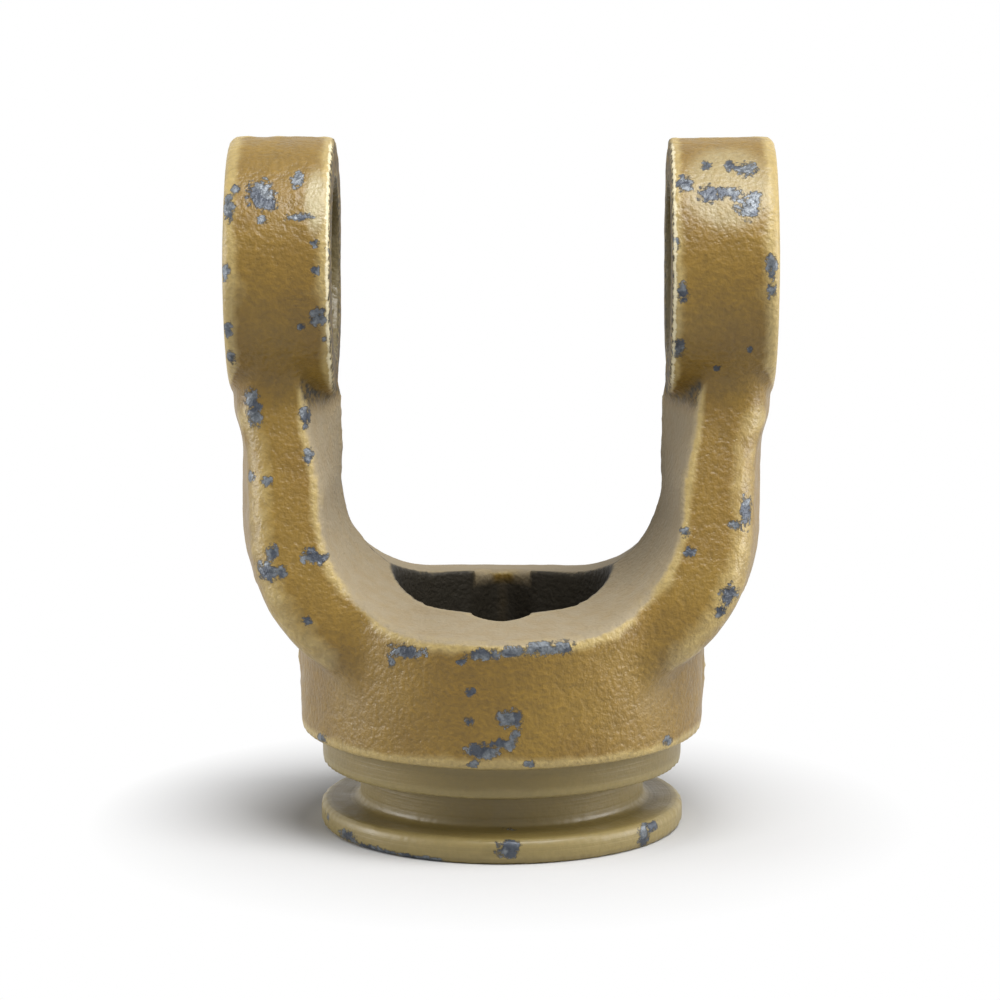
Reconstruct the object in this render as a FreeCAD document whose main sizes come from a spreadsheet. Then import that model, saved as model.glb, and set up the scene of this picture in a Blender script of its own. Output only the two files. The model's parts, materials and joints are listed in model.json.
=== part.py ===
import FreeCAD, Part
import math
import os

import Sketcher

# A forged yoke for a farm drive shaft, in millimetres. It is one solid: two ears on two arms
# that rise from a round hub. +Z runs up the shaft's axis, +X runs along the bearing bores,
# and the origin is the centre of the hub's lower face. The forging's parting plane is XZ,
# so every forged face falls away from that plane by the draft angle.

os.makedirs("parts", exist_ok=True)
doc = FreeCAD.newDocument("ForgedYoke")

SIZES = {
    # ears and their bores
    "ear_height": 88.8,
    "ear_radius": 20.0,
    "ear_inner_face": 25.9,
    "ear_outer_face": 42.3,
    "ear_edge_round": 1.2,
    "bearing_bore_radius": 13.5,
    "clip_groove_inset": 1.8,
    "clip_groove_width": 1.7,
    "clip_groove_depth": 1.0,
    # arms, seen along Y
    "arm_bend_height": 48.9,
    "arm_bend_radius": 26.0,
    "shoulder_height": 62.2,
    "shoulder_rise": 1.3,
    "shoulder_angle": 19.5,
    "shoulder_round": 14.0,
    "shoulder_crown_round": 8.0,
    "ear_boss_rise": 0.2,
    # arms, seen along X
    "neck_half_width": 12.4,
    "neck_round": 7.0,
    "neck_web_angle": 35.0,
    "root_half_width": 24.0,
    "root_height": 36.0,
    "root_round": 60.0,
    # the U between the arms, on the parting plane
    "spot_face_depth": 0.6,
    "saddle_height": 39.2,
    "saddle_corner": 16.0,
    "saddle_corner_growth": 2.0,
    "lean_height": 56.0,
    "lean_angle": 33.0,
    # forging
    "forging_draft": 7.0,
    "arm_edge_round": 4.0,
    # hub, bottom to top
    "flange_radius": 28.75,
    "flange_thickness": 3.9,
    "guard_groove_radius": 22.5,
    "guard_groove_width": 6.3,
    "collar_radius": 28.5,
    "collar_width": 5.4,
    "hub_radius": 31.8,
    "hub_top_height": 42.0,
    "flange_edge_round": 0.7,
    "machined_edge_round": 0.4,
    # bore for the ribbed tube
    "tube_bore_radius": 17.1,
    "tube_rib_width": 12.0,
    "tube_rib_depth": 3.1,
    "tube_rib_round": 3.0,
    "tube_rib_flank": 45.0,
    "tube_bore_chamfer": 1.5,
}

sheet = doc.addObject("Spreadsheet::Sheet", "Sizes")
for row, (alias, value) in enumerate(SIZES.items(), start=1):
    sheet.set("A%d" % row, alias)
    sheet.set("B%d" % row, str(value))
    sheet.setAlias("B%d" % row, alias)
doc.recompute()

yoke = doc.addObject("PartDesign::Body", "Yoke")
yoke.Label = "yoke"
yoke.Placement = FreeCAD.Placement()
ORIGIN = {feature.Role: feature for feature in yoke.Origin.OriginFeatures}
SKETCH_ORIGIN = (-1, 1)
START = 1
END = 2
CENTRE = 3


def sketch_on(plane, name, offset="0"):
    """An empty sketch on one of the body's origin planes, moved along its normal."""
    sketch = yoke.newObject("Sketcher::SketchObject", name)
    sketch.AttachmentSupport = [(ORIGIN[plane], "")]
    sketch.MapMode = "FlatFace"
    sketch.setExpression("AttachmentOffset.Base.z", offset)
    doc.recompute()
    return sketch


def bind(sketch, constraint, expression):
    """Add one dimension and tie it to the sheet."""
    number = sketch.addConstraint(constraint)
    sketch.setExpression("Constraints[%d]" % number, expression)


def place_point(sketch, item, end, corner):
    """Hold a point of the sketch at the two expressions of a corner."""
    x, y = (sketch.evalExpression(text) for text in corner[:2])
    bind(sketch, Sketcher.Constraint("DistanceX", *SKETCH_ORIGIN, item, end, float(x)), corner[0])
    bind(sketch, Sketcher.Constraint("DistanceY", *SKETCH_ORIGIN, item, end, float(y)), corner[1])


def draw_outline(sketch, corners):
    """A closed outline through corners (x, y) or (x, y, radius), each an expression."""
    points = [
        FreeCAD.Vector(float(sketch.evalExpression(c[0])), float(sketch.evalExpression(c[1])), 0)
        for c in corners
    ]
    count = len(corners)
    ends = {}
    for i, corner in enumerate(corners):
        reach = 0.0
        if len(corner) == 3:
            before = (points[i - 1] - points[i]).normalize()
            after = (points[(i + 1) % count] - points[i]).normalize()
            half_turn = (math.pi - before.getAngle(after)) / 2
            reach = float(sketch.evalExpression(corner[2])) * math.tan(half_turn)
            ends[i] = (points[i] + before * reach, points[i] + after * reach)
        else:
            ends[i] = (points[i], points[i])
    lines = []
    for i in range(count):
        segment = Part.LineSegment(ends[i][1], ends[(i + 1) % count][0])
        lines.append(sketch.addGeometry(segment, False))
    for i, corner in enumerate(corners):
        before, after = lines[i - 1], lines[i]
        if len(corner) == 2:
            sketch.addConstraint(Sketcher.Constraint("Coincident", before, END, after, START))
            place_point(sketch, after, START, corner)
            continue
        vertex = sketch.addGeometry(Part.Point(points[i]), True)
        place_point(sketch, vertex, START, corner)
        sketch.addConstraint(Sketcher.Constraint("PointOnObject", vertex, START, before))
        sketch.addConstraint(Sketcher.Constraint("PointOnObject", vertex, START, after))
        round_corner(sketch, before, after, ends[i], points[i], corner[2])
    return lines


def round_corner(sketch, before, after, touch, vertex, radius):
    """An arc tangent to two lines, from touch[0] on the first to touch[1] on the second."""
    size = float(sketch.evalExpression(radius))
    inward = ((touch[0] - vertex) + (touch[1] - vertex)).normalize()
    half_corner = inward.getAngle(touch[0] - vertex)
    centre = vertex + inward * (size / math.sin(half_corner))
    angles = [math.atan2(point.y - centre.y, point.x - centre.x) for point in touch]
    first, last = START, END
    if (angles[1] - angles[0]) % (2 * math.pi) > math.pi:
        angles.reverse()
        first, last = END, START
    circle = Part.Circle(centre, FreeCAD.Vector(0, 0, 1), size)
    arc = sketch.addGeometry(Part.ArcOfCircle(circle, angles[0], angles[1]), False)
    sketch.addConstraint(Sketcher.Constraint("Tangent", before, END, arc, first))
    sketch.addConstraint(Sketcher.Constraint("Tangent", arc, last, after, START))
    bind(sketch, Sketcher.Constraint("Radius", arc, size), radius)


def draw_circle(sketch, x, y, radius):
    """A circle whose centre and radius are expressions."""
    centre = FreeCAD.Vector(float(sketch.evalExpression(x)), float(sketch.evalExpression(y)), 0)
    size = float(sketch.evalExpression(radius))
    circle = sketch.addGeometry(Part.Circle(centre, FreeCAD.Vector(0, 0, 1), size), False)
    place_point(sketch, circle, CENTRE, (x, y))
    bind(sketch, Sketcher.Constraint("Radius", circle, size), radius)


def mirrored(name, feature, plane):
    """The feature again on the other side of one of the body's planes."""
    copy = yoke.newObject("PartDesign::Mirrored", name)
    copy.Originals = [feature]
    copy.MirrorPlane = (ORIGIN[plane], [""])
    yoke.Tip = copy
    doc.recompute()
    return copy


# ---- fork: the U-shaped blank, drafted both ways from the parting plane --------------------

BLANK_DEPTH = "(Sizes.hub_radius + 2)"
BLANK_DRAFT = "(%s * tan(Sizes.forging_draft))" % BLANK_DEPTH
FORK_TOP = "(Sizes.ear_height - Sizes.ear_radius / 2)"
SHOULDER_SIDE = "(Sizes.ear_outer_face - Sizes.ear_boss_rise)"
SHOULDER_TOP = "(Sizes.shoulder_height + Sizes.shoulder_rise / tan(Sizes.shoulder_angle))"
ARM_SIDE = "(%s - Sizes.shoulder_rise)" % SHOULDER_SIDE


def fork_section(name, offset, inset):
    """The blank seen along Y, smaller all round by inset."""
    side = "(%s - %s)" % (ARM_SIDE, inset)
    shoulder = "(%s - %s)" % (SHOULDER_SIDE, inset)
    bend = "Sizes.arm_bend_radius - %s" % inset
    foot = "Sizes.arm_bend_height - (%s)" % bend
    sketch = sketch_on("XZ_Plane", name, offset)
    draw_outline(sketch, [
        ("-" + shoulder, FORK_TOP),
        ("-" + shoulder, SHOULDER_TOP, "Sizes.shoulder_crown_round"),
        ("-" + side, "Sizes.shoulder_height", "Sizes.shoulder_round"),
        ("-" + side, foot, bend),
        (side, foot, bend),
        (side, "Sizes.shoulder_height", "Sizes.shoulder_round"),
        (shoulder, SHOULDER_TOP, "Sizes.shoulder_crown_round"),
        (shoulder, FORK_TOP),
    ])
    return sketch


fork = yoke.newObject("PartDesign::AdditiveLoft", "Fork")
fork.Profile = fork_section("ForkParting", "0", "0")
fork.Sections = [fork_section("ForkFront", BLANK_DEPTH, BLANK_DRAFT)]
fork.Ruled = True
doc.recompute()
mirrored("ForkBack", fork, "XZ_Plane")


# ---- arms, seen along X: a neck under each ear, widening downwards to the root -------------

SIDE_REACH = "(Sizes.hub_radius + 5)"
ABOVE_FORK = "(%s + 1)" % FORK_TOP
BELOW_FORK = "(Sizes.arm_bend_height - Sizes.arm_bend_radius - 1)"
WEB_Y = "(Sizes.ear_radius * cos(Sizes.neck_web_angle))"
WEB_Z = "(Sizes.ear_height - Sizes.ear_radius * sin(Sizes.neck_web_angle))"
NECK_Z = "(%s - (%s - Sizes.neck_half_width) / tan(Sizes.neck_web_angle))" % (WEB_Z, WEB_Y)

arm_side_outline = sketch_on("YZ_Plane", "ArmSideOutline")
draw_outline(arm_side_outline, [
    (WEB_Y, ABOVE_FORK),
    (WEB_Y, WEB_Z),
    ("Sizes.neck_half_width", NECK_Z, "Sizes.neck_round"),
    ("Sizes.root_half_width", "Sizes.root_height", "Sizes.root_round"),
    ("Sizes.root_half_width", BELOW_FORK),
    (SIDE_REACH, BELOW_FORK),
    (SIDE_REACH, ABOVE_FORK),
])


def cut_through(name, sketch, length):
    """A pocket that runs length to both sides of the sketch's plane together."""
    before = yoke.Shape.Volume
    pocket = yoke.newObject("PartDesign::Pocket", name)
    pocket.Profile = sketch
    pocket.Midplane = True
    pocket.setExpression("Length", length)
    yoke.Tip = pocket
    doc.recompute()
    if yoke.Shape.Volume >= before:
        raise RuntimeError("%s removed nothing" % name)
    return pocket


def edges_between(shape, first, second, where):
    """Names of the edges whose two faces have normals that pass first and second, in any order."""
    names = []
    for number, edge in enumerate(shape.Edges, start=1):
        faces = shape.ancestorsOfType(edge, Part.Face)
        point = edge.valueAt((edge.FirstParameter + edge.LastParameter) / 2)
        if len(faces) != 2 or not where(point):
            continue
        one, two = (face.normalAt(*face.Surface.parameter(point)) for face in faces)
        if (first(one) and second(two)) or (first(two) and second(one)):
            names.append("Edge%d" % number)
    return names


def round_edges(name, edges, radius):
    """A fillet of one radius on named edges of the body as it stands."""
    base = yoke.Tip
    fillet = yoke.newObject("PartDesign::Fillet", name)
    fillet.Base = (base, edges)
    fillet.setExpression("Radius", radius)
    yoke.Tip = fillet
    doc.recompute()


def faces_sideways(normal):
    """True on the arms' front and back, which run straight along X."""
    return abs(normal.x) < 0.001 and abs(normal.y) > 0.5


def faces_outwards(normal):
    """True on the drafted outside of the fork, except its flat top."""
    return abs(normal.y) < 0.2 and normal.z < 0.9


FORK_WIDTH = "(2 * Sizes.ear_outer_face + 2)"
arm_side = cut_through("ArmSide", arm_side_outline, FORK_WIDTH)
mirrored("ArmSideBack", arm_side, "XZ_Plane")
buried_height = SIZES["ear_height"] - 0.55 * SIZES["ear_radius"]
arm_edges = edges_between(
    yoke.Shape, faces_sideways, faces_outwards,
    lambda point: abs(point.x) > SIZES["arm_edge_round"] and point.z < buried_height)
round_edges("ArmEdges", arm_edges, "Sizes.arm_edge_round")

# ---- hub: turned flange, guard groove and collar under the forged round ---------------------

GROOVE_BASE = "Sizes.flange_thickness"
COLLAR_BASE = "(Sizes.flange_thickness + Sizes.guard_groove_width)"
HUB_BASE = "(%s + Sizes.collar_width)" % COLLAR_BASE

hub_outline = sketch_on("XZ_Plane", "HubOutline")
draw_outline(hub_outline, [
    ("0", "0"),
    ("Sizes.flange_radius", "0", "Sizes.machined_edge_round"),
    ("Sizes.flange_radius", GROOVE_BASE, "Sizes.flange_edge_round"),
    ("Sizes.guard_groove_radius", GROOVE_BASE, "Sizes.machined_edge_round"),
    ("Sizes.guard_groove_radius", COLLAR_BASE, "Sizes.machined_edge_round"),
    ("Sizes.collar_radius", COLLAR_BASE, "Sizes.machined_edge_round"),
    ("Sizes.collar_radius", HUB_BASE),
    ("Sizes.hub_radius", HUB_BASE, "Sizes.machined_edge_round"),
    ("Sizes.hub_radius", "Sizes.hub_top_height"),
    ("0", "Sizes.hub_top_height"),
])
hub = yoke.newObject("PartDesign::Revolution", "Hub")
hub.Profile = hub_outline
hub.ReferenceAxis = (ORIGIN["Z_Axis"], [""])
hub.Angle = 360
yoke.Tip = hub
doc.recompute()

# ---- the U between the arms, drafted like the blank ----------------------------------------

GAP_TOP = "(Sizes.ear_height + Sizes.ear_radius + 1)"


def gap_section(name, offset, spread, growth):
    """The U seen along Y, wider by spread, its sides leaning out above the lean height."""
    side = "(Sizes.ear_inner_face - Sizes.spot_face_depth + %s)" % spread
    lean = "(%s - Sizes.lean_height) * tan(Sizes.lean_angle) * %s / %s" % (GAP_TOP, offset, BLANK_DEPTH)
    top = "(%s + %s)" % (side, lean)
    floor = "Sizes.saddle_height - %s" % spread
    corner = "Sizes.saddle_corner + %s" % growth
    sketch = sketch_on("XZ_Plane", name, offset)
    draw_outline(sketch, [
        ("-" + top, GAP_TOP),
        ("-" + side, "Sizes.lean_height"),
        ("-" + side, floor, corner),
        (side, floor, corner),
        (side, "Sizes.lean_height"),
        (top, GAP_TOP),
    ])
    return sketch


gap = yoke.newObject("PartDesign::SubtractiveLoft", "Gap")
gap.Profile = gap_section("GapParting", "0", "0", "0")
gap.Sections = [gap_section("GapFront", BLANK_DEPTH, BLANK_DRAFT, "Sizes.saddle_corner_growth")]
gap.Ruled = True
yoke.Tip = gap
doc.recompute()
mirrored("GapBack", gap, "XZ_Plane")

# ---- ears: round bosses about the bearing axis ----------------------------------------------

ear_outline = sketch_on("YZ_Plane", "EarOutline", "Sizes.ear_inner_face")
draw_circle(ear_outline, "0", "Sizes.ear_height", "Sizes.ear_radius")
ear = yoke.newObject("PartDesign::Pad", "Ear")
ear.Profile = ear_outline
ear.setExpression("Length", "Sizes.ear_outer_face - Sizes.ear_inner_face")
yoke.Tip = ear
doc.recompute()
mirrored("EarOpposite", ear, "YZ_Plane")
ear_edges = [
    "Edge%d" % number for number, edge in enumerate(yoke.Shape.Edges, start=1)
    if isinstance(edge.Curve, Part.Circle)
    and abs(edge.Curve.Radius - SIZES["ear_radius"]) < 0.001
    and abs(abs(edge.Curve.Center.x) - SIZES["ear_outer_face"]) < 0.001
]
round_edges("EarEdges", ear_edges, "Sizes.ear_edge_round")

spot_face_outline = sketch_on("YZ_Plane", "SpotFaceOutline")
draw_circle(spot_face_outline, "0", "Sizes.ear_height", "Sizes.ear_radius")
cut_through("SpotFaces", spot_face_outline, "2 * Sizes.ear_inner_face")

bearing_outline = sketch_on("YZ_Plane", "BearingOutline")
draw_circle(bearing_outline, "0", "Sizes.ear_height", "Sizes.bearing_bore_radius")
cut_through("BearingBores", bearing_outline, "2 * Sizes.ear_outer_face + 2")

CLIP_OUTER_WALL = "(Sizes.ear_outer_face - Sizes.clip_groove_inset)"
CLIP_INNER_WALL = "(%s - Sizes.clip_groove_width)" % CLIP_OUTER_WALL
CLIP_FLOOR = "(Sizes.ear_height - Sizes.bearing_bore_radius - Sizes.clip_groove_depth)"
CLIP_MOUTH = "(Sizes.ear_height - Sizes.bearing_bore_radius + Sizes.clip_groove_depth)"
clip_outline = sketch_on("XZ_Plane", "ClipGrooveOutline")
draw_outline(clip_outline, [
    (CLIP_INNER_WALL, CLIP_FLOOR),
    (CLIP_OUTER_WALL, CLIP_FLOOR),
    (CLIP_OUTER_WALL, CLIP_MOUTH),
    (CLIP_INNER_WALL, CLIP_MOUTH),
])
axis_start = FreeCAD.Vector(0, SIZES["ear_height"], 0)
axis_end = FreeCAD.Vector(SIZES["ear_outer_face"], SIZES["ear_height"], 0)
bearing_axis = clip_outline.addGeometry(Part.LineSegment(axis_start, axis_end), True)
place_point(clip_outline, bearing_axis, START, ("0", "Sizes.ear_height"))
place_point(clip_outline, bearing_axis, END, ("Sizes.ear_outer_face", "Sizes.ear_height"))
clip_groove = yoke.newObject("PartDesign::Groove", "ClipGroove")
clip_groove.Profile = clip_outline
clip_groove.ReferenceAxis = (clip_outline, ["Axis0"])
clip_groove.Angle = 360
yoke.Tip = clip_groove
doc.recompute()
mirrored("ClipGrooveOpposite", clip_groove, "YZ_Plane")

# ---- bore for the ribbed tube, open at the saddle and at the flange --------------------------

tube_outline = sketch_on("XY_Plane", "TubeBoreOutline")
draw_circle(tube_outline, "0", "0", "Sizes.tube_bore_radius")
cut_through("TubeBore", tube_outline, "2 * Sizes.hub_top_height + 2")

RIB_SIDE = "(Sizes.tube_rib_width / 2)"
RIB_CREST = "(Sizes.tube_bore_radius + Sizes.tube_rib_depth)"
RIB_TIP = "(%s + Sizes.tube_rib_round * (1 / sin(Sizes.tube_rib_flank) - 1))" % RIB_CREST
RIB_FOOT = "(%s - %s / tan(Sizes.tube_rib_flank))" % (RIB_TIP, RIB_SIDE)
rib_outline = sketch_on("XY_Plane", "TubeRibOutline")
draw_outline(rib_outline, [
    ("-" + RIB_SIDE, RIB_FOOT),
    ("0", RIB_TIP, "Sizes.tube_rib_round"),
    (RIB_SIDE, RIB_FOOT),
    (RIB_SIDE, "-" + RIB_FOOT),
    ("0", "-" + RIB_TIP, "Sizes.tube_rib_round"),
    ("-" + RIB_SIDE, "-" + RIB_FOOT),
])
cut_through("TubeRibs", rib_outline, "2 * Sizes.hub_top_height + 2")

mouth_outline = sketch_on("XZ_Plane", "TubeMouthOutline")
draw_outline(mouth_outline, [
    ("(Sizes.tube_bore_radius - Sizes.tube_bore_chamfer)", "0"),
    ("(Sizes.tube_bore_radius + Sizes.tube_bore_chamfer)", "0"),
    ("Sizes.tube_bore_radius", "Sizes.tube_bore_chamfer"),
])
mouth = yoke.newObject("PartDesign::Groove", "TubeMouth")
mouth.Profile = mouth_outline
mouth.ReferenceAxis = (ORIGIN["Z_Axis"], [""])
mouth.Angle = 360
yoke.Tip = mouth
doc.recompute()

for item in doc.Objects:
    if "Invalid" in item.State or "Error" in item.State:
        raise RuntimeError("%s failed" % item.Name)
if yoke.Shape.isNull() or not yoke.Shape.isValid():
    raise RuntimeError("the yoke's solid isn't valid")
yoke.Shape.exportStep("parts/%s.step" % yoke.Label)
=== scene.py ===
import json
import math

import bpy
import numpy as np
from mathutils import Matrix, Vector


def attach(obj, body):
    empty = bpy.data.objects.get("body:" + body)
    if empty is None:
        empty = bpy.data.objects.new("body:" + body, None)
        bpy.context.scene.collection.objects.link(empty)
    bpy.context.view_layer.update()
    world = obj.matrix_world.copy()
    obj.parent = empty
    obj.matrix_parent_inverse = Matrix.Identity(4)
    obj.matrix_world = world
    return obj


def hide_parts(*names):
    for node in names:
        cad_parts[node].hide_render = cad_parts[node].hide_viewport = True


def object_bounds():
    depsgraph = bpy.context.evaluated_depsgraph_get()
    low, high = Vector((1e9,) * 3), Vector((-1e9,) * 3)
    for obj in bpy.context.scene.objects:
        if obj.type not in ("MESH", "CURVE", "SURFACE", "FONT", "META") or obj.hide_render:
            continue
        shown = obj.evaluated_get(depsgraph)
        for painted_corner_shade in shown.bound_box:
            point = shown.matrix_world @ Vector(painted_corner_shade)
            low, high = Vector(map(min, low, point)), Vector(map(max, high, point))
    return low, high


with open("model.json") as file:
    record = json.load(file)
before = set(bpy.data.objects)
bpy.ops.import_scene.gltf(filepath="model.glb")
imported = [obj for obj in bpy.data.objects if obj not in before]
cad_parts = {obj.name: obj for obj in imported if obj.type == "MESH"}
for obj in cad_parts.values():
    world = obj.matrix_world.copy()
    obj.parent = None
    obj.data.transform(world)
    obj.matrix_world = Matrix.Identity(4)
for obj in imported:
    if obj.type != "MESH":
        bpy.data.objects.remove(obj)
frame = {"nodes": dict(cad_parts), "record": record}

cad_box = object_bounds()
MM = 0.001

# ---- Yoke body ------------------------------------------------------------------------------
# One closed-die steel forging with two bored ears, two arms and a round hub. The dies leave
# every edge round, a parting line down the middle and a faintly lumpy skin; the bores, the
# guard groove, the collar and the flange are turned afterwards and stay crisp.

mounts = {mount["name"]: mount for mount in frame["record"]["mounts"]}
bearings = mounts["bearing_bores"]
groove = mounts["guard_groove"]
EAR_HEIGHT = bearings["pos_m"][2] / MM
EAR_BORE = bearings["dims"]["r_mm"]
EAR_OUTER_FACE = bearings["dims"]["length_mm"] / 2
TUBE_BORE = mounts["tube_bore"]["dims"]["r_mm"]
COLLAR_WIDTH = 5.4
MACHINED_TOP = groove["pos_m"][2] / MM + groove["dims"]["length_mm"] / 2 + COLLAR_WIDTH
HUB_RADIUS = (cad_box[1].y - cad_box[0].y) / 2 / MM
VOXEL = 0.65
FIRST_PASSES = 3
FORGED_PASSES = 7
HOLLOW_PASSES = 70
ROOT_PASSES = 30

yoke_mesh = frame["nodes"]["yoke"].data.copy()
yoke = bpy.data.objects.new("forged_yoke", yoke_mesh)
bpy.context.scene.collection.objects.link(yoke)
bpy.ops.object.select_all(action="DESELECT")
yoke.select_set(True)
bpy.context.view_layer.objects.active = yoke
bpy.ops.object.mode_set(mode="EDIT")
bpy.ops.mesh.select_all(action="SELECT")
bpy.ops.mesh.remove_doubles(threshold=0.001 * MM)
bpy.ops.object.mode_set(mode="OBJECT")


def shape(kind, **settings):
    """Give the yoke a modifier with these settings and apply it."""
    modifier = yoke.modifiers.new(kind.lower(), kind)
    for name, value in settings.items():
        setattr(modifier, name, value)
    bpy.ops.object.modifier_apply(modifier=modifier.name)


def ramp(value, low, high):
    """0 at low, 1 at high, smooth between, for numbers or arrays."""
    t = np.clip((value - low) / (high - low), 0, 1)
    return t * t * (3 - 2 * t)


def between(value, low, rise, fall, high):
    """1 from rise to fall, 0 below low and above high, smooth between."""
    return ramp(value, low, rise) * (1 - ramp(value, fall, high))


def bump_round(value, middle, width):
    """1 at the middle and fading to both sides over that width."""
    return np.exp(-((value - middle) / width) ** 2)


def skin():
    """The yoke's points x, y, z in millimetres, and its normals."""
    places = np.empty(len(yoke.data.vertices) * 3)
    yoke.data.vertices.foreach_get("co", places)
    normals = np.empty(len(yoke.data.vertices) * 3)
    yoke.data.vertex_normals.foreach_get("vector", normals)
    return places.reshape(-1, 3).T / MM, normals.reshape(-1, 3).T


def weigh(name, weights):
    """A vertex group with those weights, in 32 steps."""
    steps = 32
    group = yoke.vertex_groups.new(name=name)
    levels = np.rint(np.clip(weights, 0, 1) * steps).astype(int)
    for level in range(1, steps + 1):
        group.add(np.flatnonzero(levels == level).tolist(), level / steps, "REPLACE")
    return name


shape("REMESH", mode="VOXEL", voxel_size=VOXEL * MM)

(x, y, z), normal = skin()
from_axis = np.hypot(x, y)
from_bearing = np.hypot(y, z - EAR_HEIGHT)
forged = (
    ramp(z, MACHINED_TOP, MACHINED_TOP + 1.5)
    * ramp(from_bearing, EAR_BORE + 0.6, EAR_BORE + 1.8)
    * np.maximum(ramp(from_axis, TUBE_BORE + 0.4, TUBE_BORE + 2), ramp(z, 44, 46))
    * (1 - 0.8 * ramp(abs(x), EAR_OUTER_FACE - 1.5, EAR_OUTER_FACE - 0.5))
)
shape("SMOOTH", factor=0.5, iterations=FIRST_PASSES)
shape("SMOOTH", factor=0.5, iterations=FORGED_PASSES, vertex_group=weigh("forged", forged))

# The arms run into the hub's round through soft hollows, and their roots are rounder than
# the arms above.
(x, y, z), normal = skin()
hollow = bump_round(abs(x), 22, 5) * ramp(abs(y), 14, 20) * between(z, 17, 24, 38, 46)
root = ramp(abs(x), 26, 31) * ramp(abs(y), 12, 18) * between(z, 18, 24, 44, 54)
shape("SMOOTH", factor=0.5, iterations=HOLLOW_PASSES, vertex_group=weigh("hollow", hollow))
shape("SMOOTH", factor=0.5, iterations=ROOT_PASSES, vertex_group=weigh("root", root))


def clouds(name, size, depth=2):
    """A cloud texture whose lumps are size millimetres across."""
    texture = bpy.data.textures.new(name, "CLOUDS")
    texture.noise_scale = size * MM
    texture.noise_depth = depth
    return texture


shape("DISPLACE", texture=clouds("die_wear", 12), strength=0.4 * MM, vertex_group="forged")
shape("DISPLACE", texture=clouds("scale_pits", 2.0), strength=0.12 * MM, vertex_group="forged")

# The dies meet on the plane between front and back. Trimming leaves a ragged seam there, and
# it is widest where the arms turn into the hub.
(x, y, z), normal = skin()
seam = bump_round(y, 0, 1.1) * ramp(z, 17, 20) * ramp(np.abs(normal[1]), 0.6, 0.3)
seam *= 1 - 0.75 * ramp(normal[0] * np.sign(x), 0.2, 0.6)
seam *= ramp(np.hypot(x, y), TUBE_BORE + 1, TUBE_BORE + 3)
flash = bump_round(y, 0, 3.0) * ramp(abs(x), 28, 30) * between(z, 19, 24, 36, 42)
shape(
    "DISPLACE", texture=clouds("trimmed_seam", 3.0), strength=0.5 * MM, mid_level=0.2,
    vertex_group=weigh("seam", seam))
shape(
    "DISPLACE", texture=clouds("trimmed_flash", 2.2), strength=1.1 * MM, mid_level=0.3,
    vertex_group=weigh("flash", flash))
bpy.ops.object.shade_smooth()
yoke.vertex_groups.clear()

# ---- Wear on the yoke -----------------------------------------------------------------------
# Handling has knocked the paint off in chips, most on the ears, the arms' edges and the rim of
# the saddle. Each chip is x, z, half width and half height in millimetres, on the front.

LEFT_EAR_CHIPS = [
    (-36.5, 101.5, 1.9, 1.8), (-35.3, 100.3, 1.2, 1.0), (-31, 103.6, 0.9, 1.1),
    (-30.6, 98.3, 2.0, 0.55), (-36.2, 97.9, 0.8, 0.6), (-41.3, 99.6, 0.9, 1.8),
    (-40.4, 102.2, 0.7, 0.6), (-41.9, 90.2, 0.8, 1.1),
    (-28.1, 90.4, 0.7, 0.7), (-27.7, 83.1, 1.1, 1.4), (-30.4, 81.7, 0.6, 0.5), (-41.6, 81.2, 0.7, 1.2),
    (-41.2, 76.5, 0.7, 1.0), (-28.2, 94.5, 0.6, 0.6),
]
RIGHT_EAR_CHIPS = [
    (27.9, 103, 1.2, 1.0), (37.3, 105, 1.6, 0.9), (35, 105.5, 0.8, 0.7), (31.3, 105.5, 0.8, 0.6),
    (31.6, 101.6, 1.7, 1.1), (33.6, 101.9, 1.0, 0.7), (35.3, 101.7, 1.1, 1.0), (37.4, 99.6, 1.7, 1.5),
    (38.4, 101, 1.1, 1.0), (40.9, 91.1, 0.8, 1.5), (41, 87.3, 0.7, 1.1), (27.4, 87, 1.0, 1.5),
    (27, 78.1, 1.0, 1.3), (26.5, 94.4, 0.6, 0.9), (33.1, 74.8, 0.6, 0.5), (38, 78.1, 0.5, 0.5),
]
LEFT_ARM_CHIPS = [
    (-38.4, 69.9, 1.0, 1.3), (-37.9, 67.4, 1.1, 1.7), (-30.2, 67.1, 0.8, 1.4), (-29.6, 61.2, 0.7, 1.1),
    (-38.8, 57.9, 0.9, 0.8), (-35.9, 57.5, 0.8, 0.7), (-35, 47.1, 1.0, 1.0), (-29, 46.6, 1.4, 1.1),
    (-27.5, 46.2, 1.0, 0.8), (-35.6, 44.2, 1.7, 1.4), (-33.4, 44.2, 0.9, 0.8), (-29.5, 37, 0.8, 0.7),
]
RIGHT_ARM_CHIPS = [
    (37.6, 53.2, 0.8, 2.4), (35.9, 51.2, 1.0, 0.8), (28.9, 47.2, 0.8, 0.7), (28.2, 50.1, 0.7, 0.7),
    (34.9, 40.9, 1.3, 1.5), (33.6, 38.4, 0.9, 1.0),
]
HUB_CHIPS = [
    (-14.2, 33.4, 2.6, 1.0), (-16.5, 31.5, 0.8, 0.8), (-5.9, 32.4, 0.7, 0.5), (-2.6, 33.6, 2.2, 0.8),
    (1.8, 34, 2.4, 0.7), (6.2, 34.4, 2.6, 1.0), (9.3, 34.4, 1.6, 1.0), (-4.5, 27.6, 0.7, 0.7),
    (1.4, 23.7, 1.6, 1.4), (-4.7, 23.3, 0.6, 0.8), (-2.6, 18.4, 2.4, 1.2), (0.6, 19.7, 2.0, 0.9),
    (-4.1, 16.6, 0.9, 0.6), (4.4, 16.6, 0.8, 0.5), (2.3, 21.2, 0.7, 0.8), (-27.8, 16.7, 0.7, 0.7),
    (25.7, 17.1, 0.7, 0.7),
]
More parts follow.
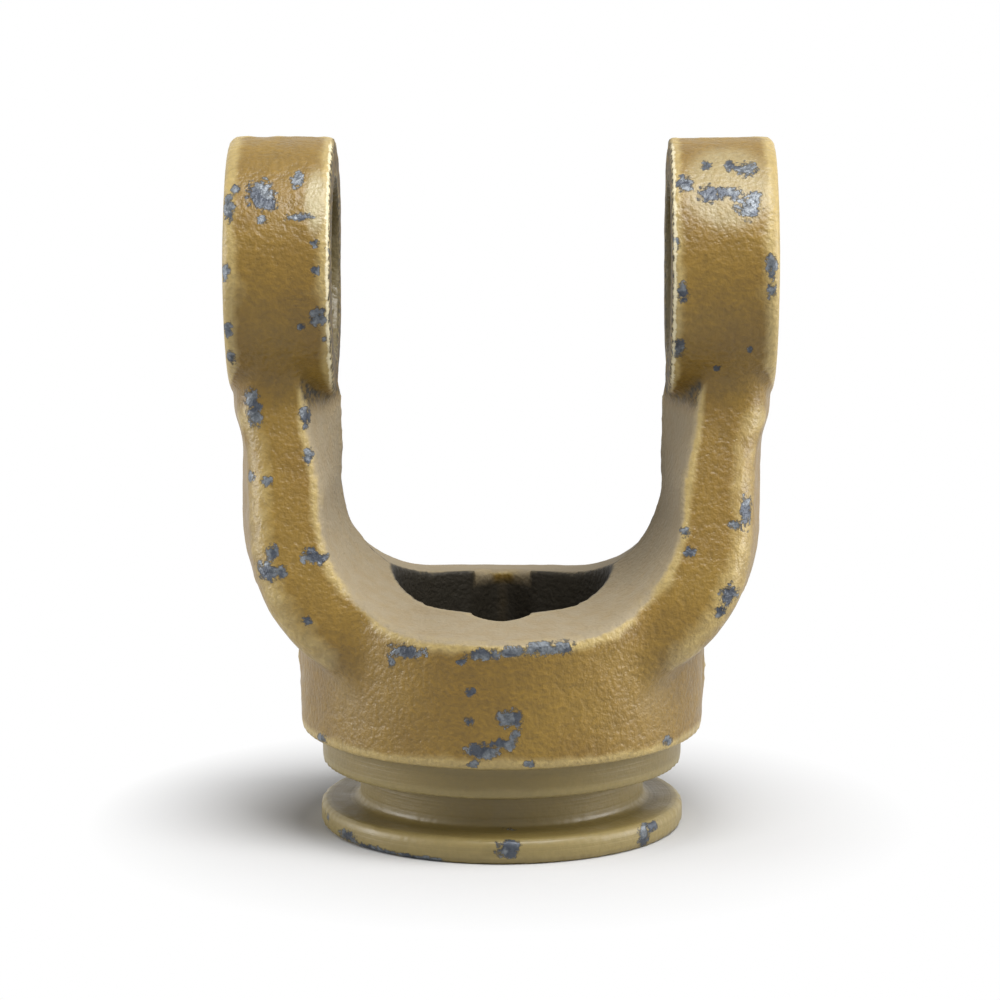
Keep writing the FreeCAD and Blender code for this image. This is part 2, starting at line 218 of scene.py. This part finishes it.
FLANGE_CHIPS = [
    (1.1, 2.7, 1.6, 1.3), (-23.8, 1.2, 1.3, 0.8), (-28, 2.6, 0.8, 1.4), (22.1, 2.2, 0.8, 1.8),
    (23.3, 3.1, 1.0, 0.8), (-19, 0.3, 3.5, 0.6), (-12.5, 0.2, 3.5, 0.5),
]


def chips_on_front(chips):
    """1 at the middle of a chip, a half at its edge and 0 at twice its size, on the front."""
    field = np.zeros_like(x)
    for chip_x, chip_z, half_width, half_height in chips:
        distance = np.hypot((x - chip_x) / half_width, (z - chip_z) / half_height)
        field = np.maximum(field, 1 - distance / 2)
    return np.clip(field, 0, 1) * ramp(-y, 2, 6) * ramp(-normal[1], 0.15, 0.4)


def stain(name, values):
    """Keep one number per point on the mesh, for the paint to read."""
    layer = yoke.data.attributes.new(name, "FLOAT", "POINT")
    layer.data.foreach_set("value", np.clip(values, 0, 1).astype(np.float32))


(x, y, z), normal = skin()
stain("chip", chips_on_front(
    LEFT_EAR_CHIPS + RIGHT_EAR_CHIPS + LEFT_ARM_CHIPS + RIGHT_ARM_CHIPS + HUB_CHIPS + FLANGE_CHIPS))

# How far each point stands out of the skin around it: 1 on a sharp outer edge, 0 in a corner.
edges = np.empty(len(yoke.data.edges) * 2, np.int64)
yoke.data.edges.foreach_get("vertices", edges)
first, second = edges.reshape(-1, 2).T
neighbours = np.bincount(edges, minlength=len(x))
around = np.stack([x, y, z])
EDGE_REACH = 8
for _ in range(EDGE_REACH):
    total = np.stack([
        np.bincount(first, axis[second], len(x)) + np.bincount(second, axis[first], len(x))
        for axis in around])
    around = total / neighbours
outstanding = ((np.stack([x, y, z]) - around) * normal).sum(axis=0)
stain("edge", 0.5 + outstanding / 0.5)

# Dust has settled on the saddle and on the inside of the arms, up to the ears. The faint pale band in
# the hollows at the arms' roots is partly dust and partly a painted highlight.
inward = -normal[0] * np.sign(x)
settled_dust_and_highlight = ramp(np.maximum(inward, normal[2]), 0.42, 0.66) * between(z, 30, 33, 66, 70)
settled_dust_and_highlight *= ramp(HUB_RADIUS + 2 - np.abs(x), 0, 2)
# the faint pale band along the root hollows: partly dust, partly painted highlight
along = (z - 20) / 13
hollow = bump_round(np.abs(x), 21.5 + 6 * along, 2.2) * between(along, 0, 0.4, 0.8, 1.2)
settled_dust_and_highlight = np.maximum(settled_dust_and_highlight, 0.2 * hollow * ramp(np.abs(y), 10, 14))
stain("dust_and_highlight", settled_dust_and_highlight)

# Spray hardly reached the tube bore, so it stays dark scale.
from_axis = np.hypot(x, y)
in_bore = (1 - ramp(from_axis, TUBE_BORE + 0.2, TUBE_BORE + 0.8)) * (1 - ramp(z, 46, 48))
in_ribs = (1 - ramp(from_axis, 20, 21.5)) * ramp(abs(y), 15, 16) * (1 - ramp(z, 34, 36))
stain("bore", np.maximum(in_bore, in_ribs))

# The turned surfaces, the grimy inner faces of the ears, and the walls of the bearing bores.
stain("turned", 1 - ramp(z, MACHINED_TOP - 0.3, MACHINED_TOP + 0.3))
from_bearing = np.hypot(y, z - EAR_HEIGHT)
on_inner_face = ramp(inward, 0.4, 0.8) * ramp(z, 67, 70)
stain("grime", on_inner_face * ramp(from_bearing, EAR_BORE - 0.3, EAR_BORE + 0.3))
stain("bored", 1 - ramp(from_bearing, EAR_BORE + 0.1, EAR_BORE + 0.7))

# The right ear's top was touched up with a thinner, greyer coat, and the left ear's top carries a pale
# glossy smear that is a painted highlight.
touched_up = np.hypot((x - 34.5) / 6.5, (z - 102.5) / 5.5)
painted_smear_highlight = np.hypot((x + 28.2) / 1.6, (z - 100.5) / 4.5)
stain("pale", np.maximum(0.6 * ramp(touched_up, 1.25, 0.75), ramp(painted_smear_highlight, 1.3, 0.5)) * ramp(-y, 4, 8))

# A bright line along the ears' inner front edges, partly burrs and partly a painted highlight, and the
# die seam on the inside of the arms.
stain("burr_and_highlight", ramp(from_bearing, 18.6, 19.6) * ramp(z, 70, 73) * ramp(-y, 2, 5))
stain("seam", ramp(inward, 0.3, 0.6) * between(z, 38, 42, 60, 64))

# ---- Paint on the yoke ----------------------------------------------------------------------
# Alkyd machine paint, sprayed in one ochre coat over scaled forged steel: half gloss, with a
# pebbled skin that follows the forging. Where it chips, blue-grey mill scale shows.


def linear(colour):
    """An sRGB hex colour as linear RGBA."""
    parts = [int(colour[i:i + 2], 16) / 255 for i in (1, 3, 5)]
    return [p / 12.92 if p <= 0.04045 else ((p + 0.055) / 1.055) ** 2.4 for p in parts] + [1.0]


paint = bpy.data.materials.new("ochre_paint_on_forged_steel")
paint.use_nodes = True
tree = paint.node_tree
tree.nodes.clear()


def add(kind, sockets=(), give=0, **settings):
    """A node with its settings; each socket gets a value or a link. Returns the output give."""
    item = tree.nodes.new(kind)
    for name, value in settings.items():
        setattr(item, name, value)
    for name, value in sockets.items() if isinstance(sockets, dict) else enumerate(sockets):
        if isinstance(value, bpy.types.NodeSocket):
            tree.links.new(value, item.inputs[name])
        else:
            item.inputs[name].default_value = value
    return item.outputs[give] if item.outputs else None


def per_metre(size):
    """The noise scale that gives lumps of size millimetres."""
    return 1 / (size * MM)


# Noise keeps mostly between these two, so they stand for its darkest and its lightest.
LOW, HIGH = 0.3, 0.7

place = add("ShaderNodeTexCoord", give="Object")
masks = {
    name: add("ShaderNodeAttribute", give="Fac", attribute_name=name)
    for name in ("chip", "edge", "dust_and_highlight", "bore", "turned", "grime", "bored", "pale", "burr_and_highlight", "seam")
}
broad, mottle, pebble, flake, knock = (
    add("ShaderNodeTexNoise", {
        "Vector": place, "Scale": per_metre(size), "Detail": detail, "Roughness": roughness,
    }, "Fac")
    for size, detail, roughness in (
        (13, 3, 0.5), (2.6, 4, 0.5), (0.75, 2, 0.5), (1.0, 5, 0.65), (3.4, 4, 0.5))
)

across = add("ShaderNodeVectorMath", [place, (1, 1, 0)], operation="MULTIPLY")
ring_radius = add("ShaderNodeVectorMath", [across], "Value", operation="LENGTH")
side = add("ShaderNodeSeparateXYZ", [place]).node.outputs
turning = add("ShaderNodeCombineXYZ", [ring_radius, side["Z"]])
# the lathe's feed was about 0.15 mm a turn, drawn at 0.4 mm so that it shows
lathe = add("ShaderNodeTexNoise", {"Vector": turning, "Scale": per_metre(0.4), "Detail": 1}, "Fac")

# where the paint is gone: the placed chips, and small knocks that favour the outer edges
chip_ragged = add("ShaderNodeMapRange", [flake, LOW, HIGH, -0.34, 0.34])
chip_reach = add("ShaderNodeMapRange", [masks["chip"], 0.02, 0.3])
placed = add("ShaderNodeMath", [masks["chip"], chip_ragged], operation="ADD")
placed = add("ShaderNodeMath", [placed, chip_reach], operation="MULTIPLY")
knock_ragged = add("ShaderNodeMapRange", [flake, LOW, HIGH, -0.15, 0.15])
knock_spots = add("ShaderNodeMapRange", [knock, 0.66, 0.82])
knock_edges = add("ShaderNodeMapRange", [masks["edge"], 0.5, 0.8, 0.1, 1.0])
knocks = add("ShaderNodeMath", [knock_spots, knock_edges, knock_ragged], operation="MULTIPLY_ADD")
bare_field = add("ShaderNodeMath", [placed, knocks], operation="MAXIMUM")
bare = add("ShaderNodeMapRange", [bare_field, 0.49, 0.56])
near_bare = add("ShaderNodeMapRange", [bare_field, 0.36, 0.49])
rim = add("ShaderNodeMath", [near_bare, bare], operation="SUBTRACT")

# bright ragged burrs with a painted highlight along them, and the dark line of the seam
BURR_HIGHLIGHT_AT = 26.35 * MM
LINE_CORE = 0.1 * MM
LINE_EDGE = 0.3 * MM
ragged = add("ShaderNodeMapRange", [flake, LOW, HIGH, -0.25 * MM, 0.25 * MM])
off_burr_highlight = add("ShaderNodeMath", [side["X"]], operation="ABSOLUTE")
off_burr_highlight = add("ShaderNodeMath", [off_burr_highlight, BURR_HIGHLIGHT_AT], operation="SUBTRACT")
off_burr_highlight = add("ShaderNodeMath", [off_burr_highlight], operation="ABSOLUTE")
off_burr_highlight = add("ShaderNodeMath", [off_burr_highlight, ragged], operation="ADD")
burr_highlight_line = add("ShaderNodeMapRange", [off_burr_highlight, LINE_CORE, LINE_EDGE, 0.85, 0.0])
off_seam = add("ShaderNodeMath", [side["Y"], ragged], operation="ADD")
off_seam = add("ShaderNodeMath", [off_seam], operation="ABSOLUTE")
off_seam = add("ShaderNodeMath", [off_seam, ragged], operation="ADD")
seam_line = add("ShaderNodeMapRange", [off_seam, LINE_CORE, LINE_EDGE, 0.8, 0.0])

# ochre in broad clouds, with painted shade darkening the corners and a painted highlight paling the
# outer edges
broad_share = add("ShaderNodeMapRange", [broad, 0.35, 0.65])
painted_corner_shade = add("ShaderNodeMapRange", [masks["edge"], 0.45, 0.2, 0.0, 0.3])
painted_edge_highlight = add("ShaderNodeMapRange", [masks["edge"], 0.64, 0.86, 0.0, 0.5])
mottle_shade = add("ShaderNodeMapRange", [mottle, LOW, HIGH, 0.93, 1.06])
pebble_shade = add("ShaderNodeMapRange", [pebble, LOW, HIGH, 0.88, 1.12])
pale_patches = add("ShaderNodeMapRange", [flake, 0.35, 0.65, 0.6, 1.0])
dust_patches = add("ShaderNodeMapRange", [mottle, LOW, 0.6, 0.7, 1.0])
grime_specks = add("ShaderNodeMapRange", [flake, 0.42, 0.56, 0.35, 1.0])
scale_share = add("ShaderNodeMapRange", [flake, 0.36, 0.62])
navy_share = add("ShaderNodeMapRange", [knock, 0.44, 0.5, 0.7, 0.0])
mill_scale = linear("#343A40")
for over, share in ((linear("#70757A"), scale_share), (linear("#232A38"), navy_share)):
    mill_scale = add("ShaderNodeMix", {0: share, 6: mill_scale, 7: over}, 2, data_type="RGBA")

# each layer over the ones before it: its colour, where it lies, how strong it is, how it mixes
colour = linear("#74591A")
for over, where, strength, blend in (
    (linear("#7E6320"), broad_share, 1.0, "MIX"),
    # painted shade: darker brown in the concave corners
    (linear("#574521"), painted_corner_shade, 1.0, "MIX"),
    # painted highlight: paler cream along the sharp outer edges
    (linear("#C4B078"), painted_edge_highlight, 1.0, "MIX"),
    (mottle_shade, 1.0, 1.0, "MULTIPLY"),
    (pebble_shade, 1.0, 1.0, "MULTIPLY"),
    (linear("#776A40"), masks["turned"], 0.75, "MIX"),
    # pale patches: a greyer touch-up on the right ear's top, a painted highlight on the left ear's top
    (linear("#B0A47E"), masks["pale"], pale_patches, "MIX"),
    # dust on the saddle and inner arms, with a faint painted highlight in the root hollows
    (linear("#8C7F66"), masks["dust_and_highlight"], dust_patches, "MIX"),
    (linear("#5E5230"), masks["bored"], 1.0, "MIX"),
    (linear("#2C2617"), masks["grime"], grime_specks, "MIX"),
    (linear("#241E10"), masks["bore"], 1.0, "MIX"),
    (linear("#2E2A20"), rim, 0.85, "MIX"),
    (mill_scale, bare, 1.0, "MIX"),
    # the bright line on the ears' inner edges: partly bare burr, partly painted highlight
    (linear("#D9CFAE"), masks["burr_and_highlight"], burr_highlight_line, "MIX"),
    (linear("#33291A"), masks["seam"], seam_line, "MIX"),
):
    amount = add("ShaderNodeMath", [where, strength], operation="MULTIPLY")
    colour = add("ShaderNodeMix", {0: amount, 6: colour, 7: over}, 2, data_type="RGBA", blend_type=blend)

DULL_ROUGHNESS = 0.3
dull = add("ShaderNodeMath", [masks["grime"], masks["bore"]], operation="MAXIMUM")
dull = add("ShaderNodeMath", [masks["dust_and_highlight"], dull], operation="MAXIMUM")
roughness = add("ShaderNodeMapRange", [mottle, LOW, HIGH, 0.36, 0.48])
roughness = add("ShaderNodeMath", [dull, DULL_ROUGHNESS, roughness], operation="MULTIPLY_ADD")

# the height of the skin in millimetres: pebbled where forged, fine rings where turned
PEBBLE_HEIGHT = 0.13
MOTTLE_HEIGHT = 0.1
LATHE_HEIGHT = 0.05
PAINT_THICKNESS = 0.09
rough_skin = add("ShaderNodeMapRange", [masks["turned"], 0.0, 1.0, 1.0, 0.2])
pebbles = add("ShaderNodeMapRange", [pebble, 0.2, 0.8, 0.0, PEBBLE_HEIGHT])
mottles = add("ShaderNodeMapRange", [mottle, 0.2, 0.8, 0.0, MOTTLE_HEIGHT])
rings = add("ShaderNodeMath", [lathe, masks["turned"]], operation="MULTIPLY")
relief = add("ShaderNodeMath", [pebbles, rough_skin], operation="MULTIPLY")
for height, share in ((mottles, rough_skin), (rings, LATHE_HEIGHT), (bare, -PAINT_THICKNESS)):
    relief = add("ShaderNodeMath", [height, share, relief], operation="MULTIPLY_ADD")
bump = add("ShaderNodeBump", {"Height": relief, "Distance": MM, "Strength": 1.0})

SCALE_METALLIC = 0.4
metallic = add("ShaderNodeMath", [bare, SCALE_METALLIC], operation="MULTIPLY")
surface = add("ShaderNodeBsdfPrincipled", {
    "Base Color": colour, "Roughness": roughness, "Metallic": metallic, "Normal": bump})
add("ShaderNodeOutputMaterial", {"Surface": surface})

yoke.data.materials.clear()
yoke.data.materials.append(paint)
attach(yoke, "root")
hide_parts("yoke")

# ---- Studio ---------------------------------------------------------------------------------
# A pale floor that the yoke stands on, which turns to plain white a little way out. A large
# soft light hangs in front, high up and to the right, and a smaller one stands on each side.

FLOOR_SIZE = 12
SHADOW_FROM = 0.032
SHADOW_TO = 0.066
ROOM_LIGHT = 0.12

bpy.ops.object.select_all(action="DESELECT")
bpy.ops.mesh.primitive_plane_add(size=FLOOR_SIZE, location=(0, 0, cad_box[0].z))
floor = bpy.context.object
floor.name = "floor"
floor_paper = bpy.data.materials.new("white_paper")
floor_paper.use_nodes = True
tree = floor_paper.node_tree
tree.nodes.clear()
place = add("ShaderNodeTexCoord", give="Object")
away = add("ShaderNodeVectorMath", [place], "Value", operation="LENGTH")
outer = add("ShaderNodeMapRange", [away, SHADOW_FROM, SHADOW_TO])
rays = add("ShaderNodeLightPath").node.outputs
seen = add("ShaderNodeMath", [rays["Is Glossy Ray"], rays["Is Transmission Ray"]], operation="MAXIMUM")
seen = add("ShaderNodeMath", [rays["Is Camera Ray"], seen], operation="MAXIMUM")
seen = add("ShaderNodeMath", [seen, outer], operation="MULTIPLY")
paper = add("ShaderNodeBsdfDiffuse", {"Color": linear("#C4C4C4")})
white = add("ShaderNodeEmission", {"Strength": 1.0})
mixed = add("ShaderNodeMixShader", [seen, paper, white])
add("ShaderNodeOutputMaterial", {"Surface": mixed})
floor.data.materials.append(floor_paper)

world = bpy.data.worlds.new("white_room")
bpy.context.scene.world = world
world.use_nodes = True
tree = world.node_tree
tree.nodes.clear()
rays = add("ShaderNodeLightPath").node.outputs
seen = add("ShaderNodeMath", [rays["Is Camera Ray"], rays["Is Glossy Ray"]], operation="MAXIMUM")
room = add("ShaderNodeBackground", {"Color": linear("#FFFFFF"), "Strength": ROOM_LIGHT})
backdrop = add("ShaderNodeBackground", {"Color": linear("#FFFFFF"), "Strength": 1.0})
mixed = add("ShaderNodeMixShader", [seen, room, backdrop])
add("ShaderNodeOutputWorld", {"Surface": mixed})

centre = (cad_box[0] + cad_box[1]) / 2


def soft_light(name, place, size, power):
    """A square area light at place, aimed at the middle of the yoke."""
    lamp = bpy.data.lights.new(name, "AREA")
    lamp.size = size
    lamp.energy = power
    holder = bpy.data.objects.new(name, lamp)
    bpy.context.scene.collection.objects.link(holder)
    holder.location = place
    holder.rotation_euler = (centre - Vector(place)).to_track_quat("-Z", "Y").to_euler()


soft_light("overhead", (0.20, -0.28, 0.78), 0.5, 9.0)
soft_light("left_side", (-0.70, -0.05, 0.20), 0.4, 3.6)
soft_light("right_side", (0.70, -0.08, 0.20), 0.4, 4.0)

# ---- Camera ---------------------------------------------------------------------------------
# A long lens at chest height, looking down a little on the front.

lens = bpy.data.cameras.new("camera")
lens.sensor_width = 36
lens.lens = 146.86
lens.shift_x = -0.0018
lens.clip_end = 20
camera = bpy.data.objects.new("camera", lens)
bpy.context.scene.collection.objects.link(camera)
CAMERA_DISTANCE = 0.6335
CAMERA_HEIGHT = 0.1637
LOOKING_DOWN = 0.175
AROUND = math.radians(0.38)
camera.location = (
    CAMERA_DISTANCE * math.sin(AROUND), -CAMERA_DISTANCE * math.cos(AROUND), CAMERA_HEIGHT)
camera.rotation_euler = (math.pi / 2 - LOOKING_DOWN, 0, AROUND)
bpy.context.scene.camera = camera
bpy.context.scene.view_settings.view_transform = "Standard"
